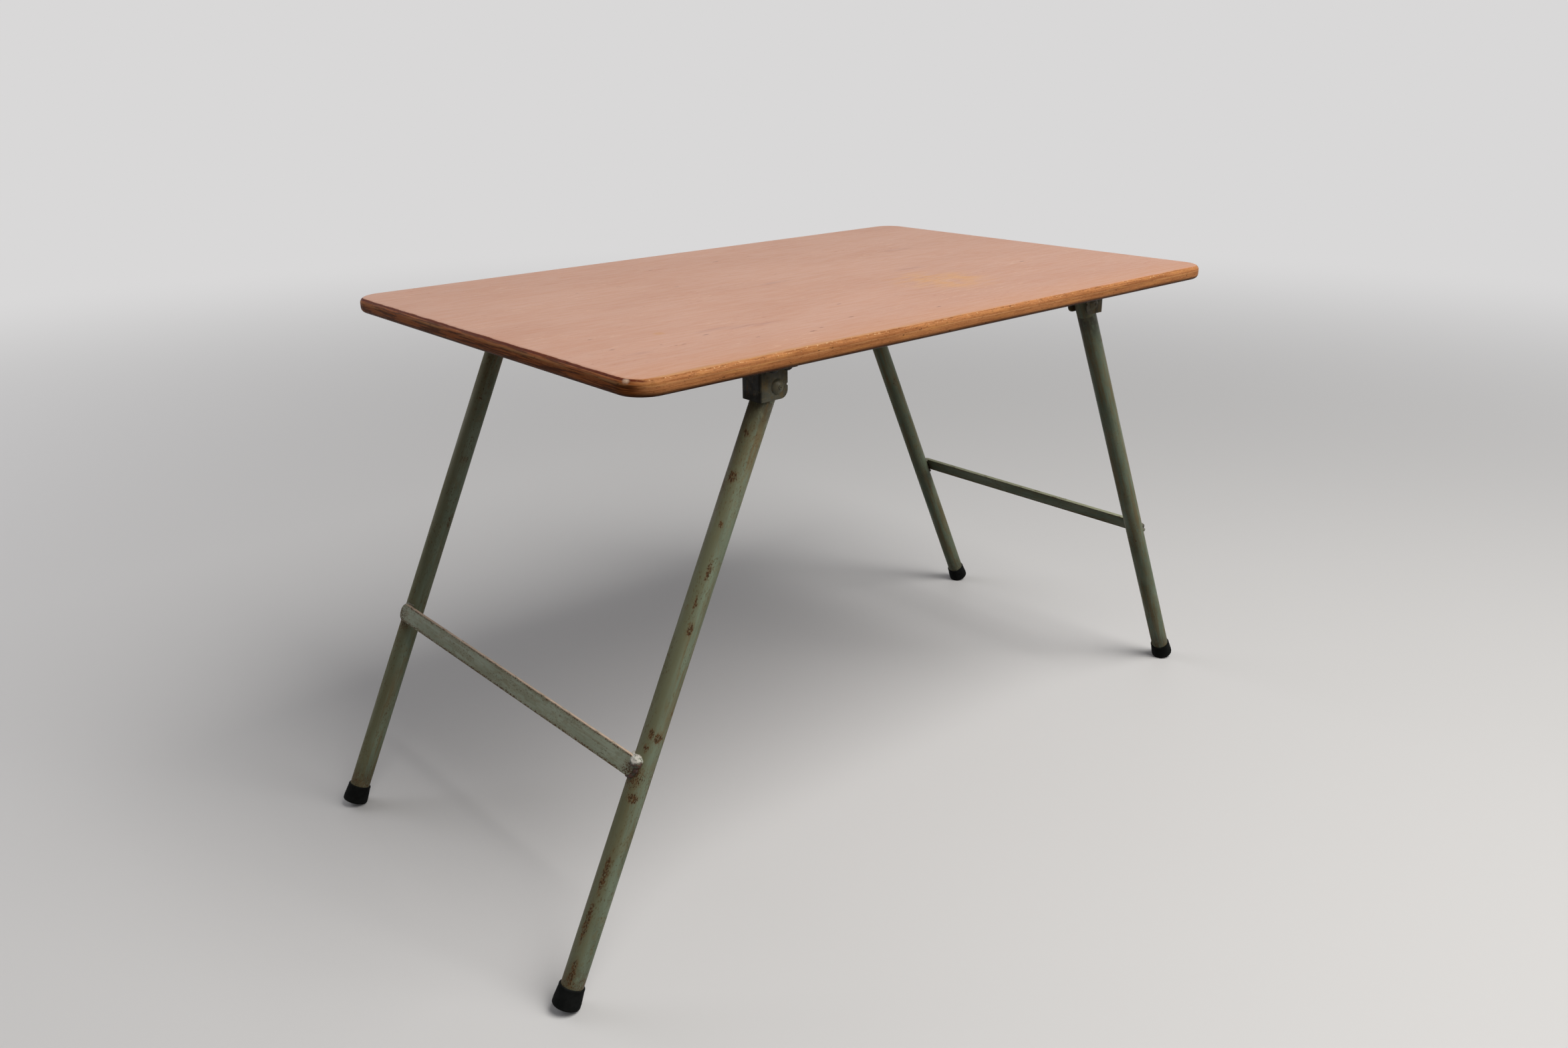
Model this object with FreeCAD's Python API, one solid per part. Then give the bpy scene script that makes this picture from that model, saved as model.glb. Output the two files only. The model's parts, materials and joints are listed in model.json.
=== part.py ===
import FreeCAD, Part
import math
import os

from FreeCAD import Vector

# Folding table with a plywood top and two steel leg frames.
# Millimetres. X runs along the top, Y across it and Z up.
# The origin is on the floor, midway between the four feet.

# Tabletop, one sheet of plywood
top_length = 946.0
top_width = 600.0
top_thickness = 18.0
top_corner_radius = 32.0
top_edge_round = 6.5
table_height = 661.0

# Where the leg frames hang, from the ends and the long edges of the top. The
# right frame is narrower, so that it folds inside the left one.
left_pivot_inset = 189.5
right_pivot_inset = 165.5
left_leg_inset = 40.0
right_leg_inset = 80.0
pivot_drop = 23.0
leg_splay = 25.3

# Leg tubes, round steel tube
tube_diameter = 25.0
tube_wall = 1.5
tube_above_pivot = 13.0

# Hinge brackets, each folded from one steel sheet
bracket_sheet = 2.0
bracket_side_gap = 0.6
bracket_stop_gap = 0.25
bracket_bend = 1.5
bracket_inboard_reach = 14.0
bracket_below_pivot = 13.5
bracket_corner_radius = 9.0
bracket_flange_width = 15.0
bracket_notch_radius = 1.3
bracket_notch_rise = 0.5

# Pivot rivets
rivet_shank_diameter = 8.0
rivet_running_gap = 0.08
rivet_head_diameter = 16.5
rivet_head_height = 4.6
rivet_nub_diameter = 4.0
rivet_nub_height = 0.6
rivet_dimple_diameter = 1.6
rivet_tail_diameter = 13.0
rivet_tail_height = 2.2

# Wood screws that hold the brackets
screw_shank_diameter = 4.0
screw_length = 13.0
screw_head_diameter = 11.0
screw_head_height = 3.8
screw_recess_width = 1.2
screw_recess_length = 4.6
screw_recess_depth = 1.2
screw_pitch = 19.0
screw_row_offset = 8.5
screw_hole_gap = 0.1

# Cross bars, flat steel welded on the outer side of the legs
bar_width = 22.0
bar_thickness = 4.0
bar_height = 245.0
bar_overhang = 4.0
bar_corner_radius = 10.0
weld_radius = 3.2
weld_run = 2.5
weld_sink = 0.8

# Rubber feet, pushed over the ends of the tubes
foot_length = 23.5
foot_wall = 1.7
foot_base_diameter = 31.0
foot_base_height = 9.0
foot_floor = 5.0
foot_lip_round = 1.2
foot_rim_round = 2.5
foot_fit = 0.05
foot_wear = 0.8

# Lengths that follow from the sizes above
cut_overrun = 5.0
point_tolerance = 1e-6
tube_radius = tube_diameter / 2
splay = math.radians(leg_splay)
left_leg_spacing = top_width - 2 * left_leg_inset
right_leg_spacing = top_width - 2 * right_leg_inset
underside = table_height - top_thickness
pivot_height = underside - pivot_drop
cheek_inner = tube_radius + bracket_side_gap
cheek_outer = cheek_inner + bracket_sheet
bend_outer = bracket_bend + bracket_sheet
bracket_height = bracket_below_pivot + pivot_drop
web_inner = bracket_below_pivot * math.tan(splay) + tube_radius / math.cos(splay) + bracket_stop_gap
web_outer = web_inner + bracket_sheet
screw_row = cheek_outer + screw_row_offset
screw_middle = (web_inner - bracket_inboard_reach) / 2
rivet_hole_radius = rivet_shank_diameter / 2 + rivet_running_gap

foot_base_radius = foot_base_diameter / 2
foot_contact_drop = pivot_height + foot_wear - foot_rim_round
foot_contact_drop -= (foot_base_radius - foot_rim_round) * math.sin(splay)
leg_reach = foot_contact_drop / math.cos(splay) + foot_rim_round
tube_reach = leg_reach - foot_floor
bar_reach = (pivot_height - bar_height) / math.cos(splay)

pivot_span = top_length - left_pivot_inset - right_pivot_inset
top_middle = (right_pivot_inset - left_pivot_inset) / 2

SIDES = {
    "left": (-1, pivot_span / 2, left_leg_spacing / 2),
    "right": (1, pivot_span / 2, right_leg_spacing / 2),
}
ROWS = {"near": -1, "far": 1}

X_AXIS = Vector(1, 0, 0)
Y_AXIS = Vector(0, 1, 0)
Z_AXIS = Vector(0, 0, 1)
ORIGIN = Vector(0, 0, 0)


def save(name, shape):
    """Write one sub-part under its node name."""
    shape.exportStep("parts/" + name + ".step")
    print(name, "solids", len(shape.Solids), "valid", shape.isValid(), "volume", round(shape.Volume))


def outline(steps):
    """Closed face from points and arcs. A step is a point, or a middle and an end point of an arc."""
    edges = []
    last = steps[0]
    for step in steps[1:]:
        if isinstance(step, tuple):
            edges.append(Part.Arc(last, step[0], step[1]).toShape())
            last = step[1]
        else:
            edges.append(Part.makeLine(last, step))
            last = step
    if not last.isEqual(steps[0], point_tolerance):
        edges.append(Part.makeLine(last, steps[0]))
    return Part.Face(Part.Wire(edges))


def corner(centre, radius, first, second, lift):
    """Middle and end point of a quarter round about centre, lift turning a pair into a point."""
    half = radius / math.sqrt(2)
    middle = lift(centre[0] + half * (first[0] + second[0]), centre[1] + half * (first[1] + second[1]))
    end = lift(centre[0] + radius * second[0], centre[1] + radius * second[1])
    return (middle, end)


def rounded_plate(length, width, radius, lift, depth):
    """Plate with round corners. lift places its outline and depth is the vector of its thickness."""
    a = length / 2
    b = width / 2
    c = a - radius
    d = b - radius
    face = outline([
        lift(-c, -b), lift(c, -b), corner((c, -d), radius, (0, -1), (1, 0), lift),
        lift(a, d), corner((c, d), radius, (1, 0), (0, 1), lift),
        lift(-c, b), corner((-c, d), radius, (0, 1), (-1, 0), lift),
        lift(-a, -d), corner((-c, -d), radius, (-1, 0), (0, -1), lift),
    ])
    return face.extrude(depth)


def screw_places(side, pivot_x, leg_y):
    """Plan positions of the four screws of one bracket."""
    middle_x = side * (pivot_x + screw_middle)
    return [
        Vector(middle_x + i * screw_pitch / 2, leg_y + j * screw_row, underside)
        for i in (-1, 1)
        for j in (-1, 1)
    ]


def tabletop():
    """Plywood sheet with round corners, soft edges and the blind holes of the screws."""
    def lift(x, y):
        return Vector(top_middle + x, y, underside)

    sheet = rounded_plate(top_length, top_width, top_corner_radius, lift, Z_AXIS * top_thickness)
    rims = [
        edge for edge in sheet.Edges
        if edge.BoundBox.ZLength < top_edge_round / 2
    ]
    panel = sheet.makeFillet(top_edge_round, rims)
    for side, pivot_x, leg_y in SIDES.values():
        for row in ROWS.values():
            for place in screw_places(side, pivot_x, row * leg_y):
                hole_radius = screw_shank_diameter / 2 + screw_hole_gap
                start = place - Z_AXIS * cut_overrun
                depth = screw_length - bracket_sheet + screw_hole_gap + cut_overrun
                panel = panel.cut(Part.makeCylinder(hole_radius, depth, start, Z_AXIS))
    return panel


def cheek_section(row):
    """Section of one cheek and its flange, folded outward along the underside. row is its side in Y."""
    def lift(out, down):
        return Vector(0, row * (cheek_inner + out), -down)

    centre = (bend_outer, bend_outer)
    flange_end = bracket_sheet + bracket_flange_width
    return outline([
        lift(0, bend_outer), corner(centre, bend_outer, (-1, 0), (0, -1), lift),
        lift(flange_end, 0), lift(flange_end, bracket_sheet),
        lift(bend_outer, bracket_sheet), corner(centre, bracket_bend, (0, -1), (-1, 0), lift),
        lift(bracket_sheet, bracket_height), lift(0, bracket_height),
    ])


def bracket(side):
    """Folded bracket about a pivot on Z, its top face at zero. side is its outboard direction in X."""
    body = None
    run = web_inner - bracket_bend + bracket_inboard_reach
    for row in (-1, 1):
        cheek = cheek_section(row).extrude(X_AXIS * (-side * run))
        cheek.translate(X_AXIS * (side * (web_inner - bracket_bend)))
        fold = web_fold(side, row)
        body = cheek.fuse(fold) if body is None else body.fuse(cheek).fuse(fold)
    web_half = cheek_inner - bracket_bend
    web_start = Vector(min(side * web_inner, side * web_outer), -web_half, -bracket_height)
    web = Part.makeBox(bracket_sheet, 2 * web_half, bracket_height, web_start)
    body = body.fuse(web).removeSplitter()
    for cutter in (lug_cutter(side), notch_cutter(side), rivet_cutter(), *flange_cutters(side)):
        body = body.cut(cutter)
    return body


def web_fold(side, row):
    """Quarter fold between the web and one cheek, over the full height."""
    middle = Vector(side * (web_inner - bracket_bend), row * (cheek_inner - bracket_bend), -bracket_height)

    def lift(out, across):
        return middle + Vector(side * out, row * across, 0)

    face = outline([
        lift(bracket_bend, 0), lift(bend_outer, 0), corner((0, 0), bend_outer, (1, 0), (0, 1), lift),
        lift(0, bracket_bend), corner((0, 0), bracket_bend, (0, 1), (1, 0), lift),
    ])
    return face.extrude(Z_AXIS * bracket_height)


def lug_cutter(side):
    """What is taken off the lower inboard corner of the cheeks to round them."""
    across = cheek_outer + cut_overrun
    centre_x = side * (bracket_corner_radius - bracket_inboard_reach)
    centre_z = bracket_corner_radius - bracket_height
    size = bracket_corner_radius + cut_overrun
    start = Vector(min(centre_x, centre_x - side * size), -across, centre_z - size)
    block = Part.makeBox(size, 2 * across, size, start)
    round_start = Vector(centre_x, -across, centre_z)
    return block.cut(Part.makeCylinder(bracket_corner_radius, 2 * across, round_start, Y_AXIS))


def notch_cutter(side):
    """Small relief notch on the inboard edge of both cheeks, level with the rivet."""
    across = cheek_outer + cut_overrun
    start = Vector(-side * bracket_inboard_reach, -across, bracket_notch_rise - pivot_drop)
    return Part.makeCylinder(bracket_notch_radius, 2 * across, start, Y_AXIS)


def rivet_cutter():
    """Rivet hole through both cheeks, the size of the shank."""
    across = cheek_outer + cut_overrun
    start = Vector(0, -across, -pivot_drop)
    return Part.makeCylinder(rivet_shank_diameter / 2, 2 * across, start, Y_AXIS)


def flange_cutters(side):
    """Screw holes through the flanges."""
    holes = []
    radius = screw_shank_diameter / 2 + screw_hole_gap
    for i in (-1, 1):
        for j in (-1, 1):
            x = side * screw_middle + i * screw_pitch / 2
            place = Vector(x, j * screw_row, -bracket_sheet - cut_overrun)
            holes.append(Part.makeCylinder(radius, bracket_sheet + 2 * cut_overrun, place, Z_AXIS))
    return holes


def dome(radius, height):
    """Spherical cap standing on Z, its flat face at zero."""
    ball_radius = (radius ** 2 + height ** 2) / (2 * height)
    ball = Part.makeSphere(ball_radius, Vector(0, 0, height - ball_radius))
    keep = Part.makeBox(2 * radius, 2 * radius, height, Vector(-radius, -radius, 0))
    return ball.common(keep)


def rivet():
    """Rivet along Z, its middle at zero and its large head at the upper end."""
    half = cheek_outer
    shank = Part.makeCylinder(rivet_shank_diameter / 2, 2 * half, Vector(0, 0, -half), Z_AXIS)
    head = dome(rivet_head_diameter / 2, rivet_head_height)
    nub = Part.makeCylinder(rivet_nub_diameter / 2, rivet_head_height + rivet_nub_height)
    head = head.fuse(nub)
    dimple_start = Vector(0, 0, rivet_head_height)
    dimple = Part.makeCylinder(rivet_dimple_diameter / 2, 2 * rivet_nub_height, dimple_start, Z_AXIS)
    head = head.cut(dimple)
    head.translate(Z_AXIS * half)
    tail = dome(rivet_tail_diameter / 2, rivet_tail_height)
    tail.rotate(ORIGIN, X_AXIS, 180)
    tail.translate(Z_AXIS * -half)
    return shank.fuse(head).fuse(tail).removeSplitter()


def screw():
    """Wood screw, pointing up, the underside of its domed head at zero."""
    radius = screw_shank_diameter / 2
    straight = screw_length - screw_shank_diameter
    shank = Part.makeCylinder(radius, straight)
    tip = Part.makeCone(radius, 0, screw_shank_diameter, Vector(0, 0, straight), Z_AXIS)
    head = dome(screw_head_diameter / 2, screw_head_height)
    head.rotate(ORIGIN, X_AXIS, 180)
    body = shank.fuse(tip).fuse(head)
    slots = ((screw_recess_length, screw_recess_width), (screw_recess_width, screw_recess_length))
    for length, width in slots:
        start = Vector(-length / 2, -width / 2, -screw_head_height - cut_overrun)
        body = body.cut(Part.makeBox(length, width, screw_recess_depth + cut_overrun, start))
    return body.removeSplitter()


def hang(shape, side, pivot_x, leg_y):
    """Lean a shape made about a pivot at zero, its leg along minus Z, and move it to its pivot."""
    shape.rotate(ORIGIN, Y_AXIS, -side * leg_splay)
    shape.translate(Vector(side * pivot_x, leg_y, pivot_height))
    return shape


def leg_tube():
    """Round tube down minus Z from above the pivot, with its cross bore on Y."""
    length = tube_above_pivot + tube_reach
    start = Vector(0, 0, -tube_reach)
    tube = Part.makeCylinder(tube_radius, length, start, Z_AXIS)
    bore_start = start - Z_AXIS * cut_overrun
    bore_length = length + 2 * cut_overrun
    tube = tube.cut(Part.makeCylinder(tube_radius - tube_wall, bore_length, bore_start, Z_AXIS))
    cross_start = Vector(0, -tube_radius - cut_overrun, 0)
    cross = Part.makeCylinder(rivet_hole_radius, tube_diameter + 2 * cut_overrun, cross_start, Y_AXIS)
    return tube.cut(cross)


def cross_bar(side, leg_y):
    """Flat bar across the outer side of both tubes, about a pivot line at zero."""
    def lift(y, z):
        return Vector(side * tube_radius, y, z - bar_reach)

    length = 2 * (leg_y + bar_overhang)
    return rounded_plate(length, bar_width, bar_corner_radius, lift, X_AXIS * (side * bar_thickness))


def weld(leg_y):
    """Weld bead round the near end of the left bar, cut to the tube and the bar."""
    x = weld_sink - tube_radius
    half = bar_width / 2
    end = leg_y + bar_overhang
    inner = end - bar_corner_radius - weld_run

    def lift(y, z):
        return Vector(x, -y, z - bar_reach)

    r = bar_corner_radius
    upper = corner((end - r, half - r), r, (0, 1), (1, 0), lift)
    lower = corner((end - r, r - half), r, (1, 0), (0, -1), lift)
    path = Part.Wire([
        Part.makeLine(lift(inner, half), lift(end - r, half)),
        Part.Arc(lift(end - r, half), upper[0], upper[1]).toShape(),
        Part.makeLine(upper[1], lift(end, r - half)),
        Part.Arc(lift(end, r - half), lower[0], lower[1]).toShape(),
        Part.makeLine(lower[1], lift(inner, -half)),
    ])
    ring = Part.Wire([Part.makeCircle(weld_radius, lift(inner, half), Y_AXIS)])
    bead = path.makePipeShell([ring], True, False)
    core_start = Vector(0, -leg_y, -bar_reach - 2 * bar_width)
    core = Part.makeCylinder(tube_radius, 4 * bar_width, core_start, Z_AXIS)
    return bead.cut(core).cut(cross_bar(SIDES["left"][0], leg_y))


def rubber_foot(side, pivot_x, leg_y):
    """Rubber cap over the end of the tube, worn flat where it stands on the floor."""
    bore = tube_radius + foot_fit
    lip = bore + foot_wall
    base = foot_base_radius
    rim = foot_rim_round

    def lift(out, up):
        return Vector(out, 0, up - leg_reach)

    section = outline([
        lift(0, 0), lift(base - rim, 0), corner((base - rim, rim), rim, (0, -1), (1, 0), lift),
        lift(base, foot_base_height - rim), lift(lip, foot_length - foot_lip_round - rim),
        lift(lip, foot_length - foot_lip_round),
        corner((lip - foot_lip_round, foot_length - foot_lip_round), foot_lip_round, (1, 0), (0, 1), lift),
        lift(bore, foot_length), lift(bore, foot_floor), lift(0, foot_floor),
    ])
    cap = section.revolve(ORIGIN, Z_AXIS, 360)
    cap = hang(cap, side, pivot_x, leg_y)
    size = 4 * foot_length
    ground = Part.makeBox(size, size, size, Vector(-size / 2, -size / 2, -size))
    ground.translate(Vector(side * (pivot_x + leg_reach * math.sin(splay)), leg_y, 0))
    return cap.cut(ground)


def build():
    """Write every sub-part."""
    os.makedirs("parts", exist_ok=True)
    save("tabletop_panel", tabletop())
    for side_name, (side, pivot_x, leg_y) in SIDES.items():
        bar = cross_bar(side, leg_y)
        save("cross_bar_" + side_name, hang(bar, side, pivot_x, 0))
        for row_name, row in ROWS.items():
            place = row_name + "_" + side_name
            y = row * leg_y

            folded = bracket(side)
            folded.translate(Vector(side * pivot_x, y, underside))
            save("hinge_bracket_" + place, folded)

            screws = []
            for spot in screw_places(side, pivot_x, y):
                one = screw()
                one.translate(spot - Z_AXIS * bracket_sheet)
                screws.append(one)
            save("bracket_screws_" + place, Part.makeCompound(screws))

            pin = rivet()
            pin.rotate(ORIGIN, X_AXIS, -90 * row)
            pin.translate(Vector(side * pivot_x, y, pivot_height))
            save("pivot_rivet_" + place, pin)

            save("leg_tube_" + place, hang(leg_tube(), side, pivot_x, y))

            bead = weld(leg_y)
            if side > 0:
                bead = bead.mirror(ORIGIN, X_AXIS)
            if row > 0:
                bead = bead.mirror(ORIGIN, Y_AXIS)
            save("weld_bead_" + place, hang(bead, side, pivot_x, 0))
            save("rubber_foot_" + place, rubber_foot(side, pivot_x, y))


build()
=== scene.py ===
# %% [markdown]
# # A folding table in plywood and painted steel
#
# This lesson dresses the measured model of a small folding work table. The top is varnished beech
# plywood. Two leg frames of painted steel tube turn on riveted brackets and fold flat under it.
# The model already has the right sizes, so most of the work here is finish: what each surface is,
# how it was made, and how years of use have marked it. Only the weld beads get new meshes.

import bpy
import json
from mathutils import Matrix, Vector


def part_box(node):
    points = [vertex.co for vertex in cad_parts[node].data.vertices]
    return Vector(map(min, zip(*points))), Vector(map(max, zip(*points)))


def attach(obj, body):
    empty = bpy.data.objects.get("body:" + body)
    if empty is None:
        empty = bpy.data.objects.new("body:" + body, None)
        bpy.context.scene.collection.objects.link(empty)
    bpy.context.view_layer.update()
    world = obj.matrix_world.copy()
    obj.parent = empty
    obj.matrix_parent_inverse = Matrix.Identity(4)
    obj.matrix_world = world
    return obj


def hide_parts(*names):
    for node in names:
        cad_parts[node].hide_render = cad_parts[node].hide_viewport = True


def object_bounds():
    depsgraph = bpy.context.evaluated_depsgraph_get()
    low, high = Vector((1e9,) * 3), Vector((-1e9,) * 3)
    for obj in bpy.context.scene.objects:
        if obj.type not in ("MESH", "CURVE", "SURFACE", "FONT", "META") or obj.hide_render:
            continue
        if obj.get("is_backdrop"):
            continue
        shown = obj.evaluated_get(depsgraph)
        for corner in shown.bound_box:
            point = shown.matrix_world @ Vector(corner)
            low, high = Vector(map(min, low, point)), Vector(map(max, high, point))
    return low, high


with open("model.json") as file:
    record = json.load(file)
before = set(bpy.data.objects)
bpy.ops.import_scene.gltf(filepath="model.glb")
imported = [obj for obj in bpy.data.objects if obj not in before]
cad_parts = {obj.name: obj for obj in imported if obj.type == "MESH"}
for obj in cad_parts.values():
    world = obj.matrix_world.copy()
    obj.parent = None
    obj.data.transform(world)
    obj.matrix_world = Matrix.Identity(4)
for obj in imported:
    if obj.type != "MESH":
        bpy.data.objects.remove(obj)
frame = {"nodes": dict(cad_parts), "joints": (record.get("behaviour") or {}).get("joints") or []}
cad_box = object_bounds()

# %% The other tools
import json
import math
import random

import bmesh
import bpy
from mathutils import Matrix, Vector, noise

mm = 0.001
nodes = frame["nodes"]

# %% [markdown]
# ## The places that the finish needs
#
# Wear follows the object, so a few places come from the model: the height of the top, and the line
# that each frame turns on. Rust, drips and scratches run along a leg, so the paint of a frame works
# in the leg's own directions. They are found from that line and from how far the legs lean out.

# %% Find the top, the turning lines and the lean of the legs
top_low, top_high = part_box("tabletop_panel")
turning_line = {j["child"]: Vector(j["pos_m"]) for j in frame["joints"]}
leg_lean = math.radians(25.3)
sides = {"left": -1, "right": 1}
rows = {"near": -1, "far": 1}
off_leg, down_leg, bar_drop, leg_half_spacing = {}, {}, {}, {}
for side, way in sides.items():
    off_leg[side] = Vector((way * math.cos(leg_lean), 0, math.sin(leg_lean)))
    down_leg[side] = Vector((way * math.sin(leg_lean), 0, -math.cos(leg_lean)))
    bar_low, bar_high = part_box("cross_bar_" + side)
    from_pivot = (bar_low + bar_high) / 2 - turning_line[side + "_frame"]
    bar_drop[side] = from_pivot.dot(down_leg[side])
    tube_low, tube_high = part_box("leg_tube_far_" + side)
    leg_half_spacing[side] = (tube_low.y + tube_high.y) / 2
    print(side, "bar", round(bar_drop[side] / mm), "mm down the leg,",
          "legs", round(2 * leg_half_spacing[side] / mm), "mm apart")

# %% [markdown]
# ## Colours and nodes
#
# Colours are picked as sRGB hex, the way a colour picker shows them. Blender mixes light in linear
# values, so one function turns the hex code round. A second one adds a shader node, sets it and
# links it, which keeps each recipe below as a plain list of steps. Pattern sizes are given in
# millimetres, and a third function turns them into the repeats per metre that a texture wants.


# %% A colour from its hex code
def colour(code):
    """An sRGB hex code as a linear colour."""
    channels = [int(code[i:i + 2], 16) / 255 for i in (1, 3, 5)]
    return [c / 12.92 if c <= 0.04045 else ((c + 0.055) / 1.055) ** 2.4 for c in channels] + [1]


# %% A node with its settings and links
def add(tree, kind, settings=(), links=()):
    """Add a node, set its properties or sockets, and link sockets into it."""
    new = tree.nodes.new("ShaderNode" + kind)
    for name, value in dict(settings).items():
        if isinstance(name, str) and hasattr(new, name):
            setattr(new, name, value)
        else:
            new.inputs[name].default_value = value
    for name, source in dict(links).items():
        tree.links.new(source, new.inputs[name])
    return new


# %% Pattern repeats from sizes in millimetres
def every(*sizes):
    """Repeats per metre of a pattern with these sizes in millimetres along X, Y and Z."""
    return [1 / (size * mm) for size in sizes]


print("one repeat every 2 mm is", every(2)[0], "per metre")

# %% [markdown]
# ## Starting a material
#
# Every finish starts the same way: a Principled shader with the gloss of the real thing, and the
# position on the model, because nothing here has a UV map. The Mix node keeps its colour sockets
# at numbers 6 and 7 and its colour output at number 2, so those numbers get names once.

# %% A new material and the sockets of a colour mix
FACTOR, FIRST, SECOND, MIXED = 0, 6, 7, 2


def begin(name, roughness, ior=1.5, specular=0.5):
    """A material with one Principled shader. Returns it, its tree, the shader and the place."""
    material = bpy.data.materials.new(name)
    material.use_nodes = True
    tree = material.node_tree
    tree.nodes.clear()
    shader = add(tree, "BsdfPrincipled", {
        "Roughness": roughness, "IOR": ior, "Specular IOR Level": specular})
    add(tree, "OutputMaterial", {}, {"Surface": shader.outputs[0]})
    place = add(tree, "TexCoord")
    return material, tree, shader, place


# %% [markdown]
# ## Masks and layers of colour
#
# Most marks are one recipe: a noise stretched to the mark's size, cut off at a level, and used to
# lay one colour over another. A mask function and a layer function say that in one line each.
# Smaller functions combine masks, and make them from a height or from the distance to a place. The
# last step of every material hands its colour, its bumps and its gloss to the shader.


# %% A mask from a stretched noise
def marks(tree, place, sizes, low, high, detail=3.0, shift=(0, 0, 0), warp=0.0):
    """Noise with these sizes in millimetres, from 0 where it is under low to 1 over high."""
    spread = add(tree, "Mapping", {"Scale": every(*sizes), "Location": shift}, {"Vector": place})
    cloud = add(tree, "TexNoise", {
        "Scale": 1.0, "Detail": detail, "Roughness": 0.6, "Distortion": warp},
        {"Vector": spread.outputs[0]})
    level = add(tree, "MapRange", {
        "From Min": low, "From Max": high, "interpolation_type": "SMOOTHSTEP"},
        {"Value": cloud.outputs[0]})
    return level.outputs[0]


# %% A colour laid over another
def layer(tree, under, over, mask, strength=1.0):
    """The colour over laid on the colour under where the mask is. A hex code is a plain colour."""
    if strength < 1.0:
        mask = add(tree, "Math", {"operation": "MULTIPLY", 1: strength}, {0: mask}).outputs[0]
    settings, links = {"data_type": "RGBA"}, {FACTOR: mask}
    for socket, paint in ((FIRST, under), (SECOND, over)):
        if isinstance(paint, str):
            settings[socket] = colour(paint)
        else:
            links[socket] = paint
    return add(tree, "Mix", settings, links).outputs[MIXED]


# %% Masks combined
def both(tree, first, second, operation="MULTIPLY"):
    """Two masks or values combined. The second may be a plain number."""
    if isinstance(second, (int, float)):
        return add(tree, "Math", {"operation": operation, 1: second}, {0: first}).outputs[0]
    return add(tree, "Math", {"operation": operation}, {0: first, 1: second}).outputs[0]


def any_of(tree, masks):
    """The strongest of several masks."""
    found = masks[0]
    for mask in masks[1:]:
        found = both(tree, found, mask, "MAXIMUM")
    return found


# %% Masks from a height or a distance
def height_of(tree, place):
    """The Z part of a place or a direction."""
    return add(tree, "SeparateXYZ", {}, {0: place}).outputs[2]


def magnitude(tree, value):
    """A value without its sign."""
    return add(tree, "Math", {"operation": "ABSOLUTE"}, {0: value}).outputs[0]


def fade(tree, value, start, end):
    """0 before start and 1 after end, smoothly. Start may be the larger."""
    low, high = sorted((start, end))
    turned = (0.0, 1.0) if end > start else (1.0, 0.0)
    return add(tree, "MapRange", {
        "From Min": low, "From Max": high, "To Min": turned[0], "To Max": turned[1],
        "interpolation_type": "SMOOTHSTEP"}, {"Value": value}).outputs[0]


def near(tree, place, spot, inner, outer):
    """A soft round mask about a spot, in metres: 1 inside inner, 0 outside outer."""
    gap = add(tree, "VectorMath", {"operation": "DISTANCE", 1: spot}, {0: place})
    return fade(tree, gap.outputs["Value"], outer, inner)


# %% Colour, relief and gloss given to the shader
def coat(tree, shader, shade, relief, strength, height, sunk=False):
    """Link the colour, and turn a mask into fine bumps so many millimetres high, or sunk."""
    tree.links.new(shade, shader.inputs["Base Color"])
    bump = add(tree, "Bump", {"Strength": strength, "Distance": height * mm, "invert": sunk},
               {"Height": relief})
    tree.links.new(bump.outputs[0], shader.inputs["Normal"])


def gloss(tree, shader, mask, low, high, socket="Roughness"):
    """Let one number of the shader go from low to high with a mask."""
    span = add(tree, "MapRange", {"To Min": low, "To Max": high}, {"Value": mask})
    tree.links.new(span.outputs[0], shader.inputs[socket])


# %% [markdown]
# ## Varnished beech plywood
#
# The top is beech plywood, 18 mm thick in eleven plies, with a clear varnish that has turned
# orange where light and hands reached it. A face veneer is peeled beech: pinkish tan, with soft
# clouds and thousands of short dark flecks along the grain. The rounded edge cuts through the
# plies, so its colour depends only on the height: a ply with its grain along the edge looks light
# and streaked, and one that shows its end grain looks dark. Dark glue lines part them.
# Real flecks are 0.3 mm wide, too fine to show from here, so these are about three times as wide.

# %% The plies seen on the edge
thickness = top_high.z - top_low.z
ply_count = 11
ply = thickness / ply_count
print("one ply is", round(ply / mm, 2), "mm")


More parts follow.
